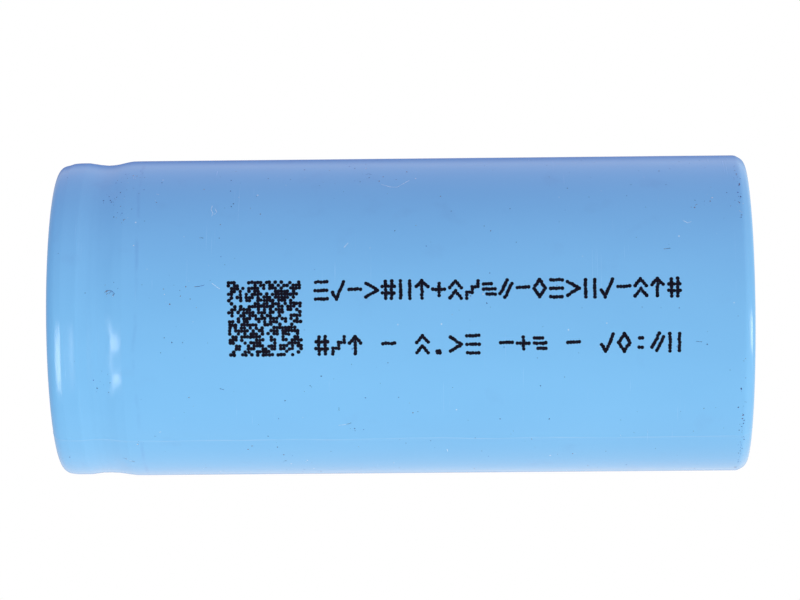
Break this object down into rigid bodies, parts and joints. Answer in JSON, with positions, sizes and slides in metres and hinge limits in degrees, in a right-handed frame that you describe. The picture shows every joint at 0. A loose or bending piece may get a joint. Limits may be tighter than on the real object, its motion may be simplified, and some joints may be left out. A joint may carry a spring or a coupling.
{
  "type": "cylindrical battery cell",
  "caption": "Sleeved cylindrical lithium cell with a beaded, crimped positive end, a raised contact cap, a flat negative end, and its safety vent and wound electrodes inside.",
  "frame": {"origin": "centre of the flat negative contact, on the surface that the cell stands on", "axes": "+Z along the cell's axis, from the negative contact to the positive contact; the cell is round, so X and Y are free, and the tabs leave the roll along Y"},
  "size_m": [0.0322, 0.0322, 0.0705],
  "materials": {
    "pvc_sleeve": "glossy shrink film",
    "nickel_steel": "nickel-plated, satin",
    "insulating_paper": "matte fish paper",
    "seal_plastic": "natural polypropylene",
    "valve_aluminium": "satin rolled sheet",
    "disc_fibre": "glass-fibre laminate",
    "separator_film": "microporous film",
    "copper_foil": "bare copper, satin",
    "graphite": "matte pressed coating",
    "aluminium_foil": "bright foil",
    "iron_phosphate": "matte pressed coating",
    "polyimide_tape": "amber film",
    "closing_tape": "green polyester film",
    "nickel_tab": "rolled nickel strip"
  },
  "bodies": {
    "cell": {"steel_can": "nickel_steel", "shrink_sleeve": "pvc_sleeve", "top_insulator_ring": "insulating_paper", "crimp_gasket": "seal_plastic", "positive_cap": "nickel_steel", "vent_disc": "valve_aluminium", "cid_holder": "seal_plastic", "cid_plate": "valve_aluminium", "upper_insulator": "disc_fibre", "lower_insulator": "disc_fibre", "separator_one": "separator_film", "separator_two": "separator_film", "anode_foil": "copper_foil", "anode_coating": "graphite", "cathode_foil": "aluminium_foil", "cathode_coating": "iron_phosphate", "roll_tape": "closing_tape", "positive_tabs": "aluminium_foil", "positive_tab_tape": "polyimide_tape", "negative_tabs": "nickel_tab", "centre_pin": "nickel_steel"},
    "safety_vent": {"vent_dome": "valve_aluminium"}
  },
  "joints": [
    {"name": "vent_pop", "type": "slide", "parent": "cell", "child": "safety_vent", "axis": [0, 0, 1], "range_m": [0, 0.0009]}
  ]
}
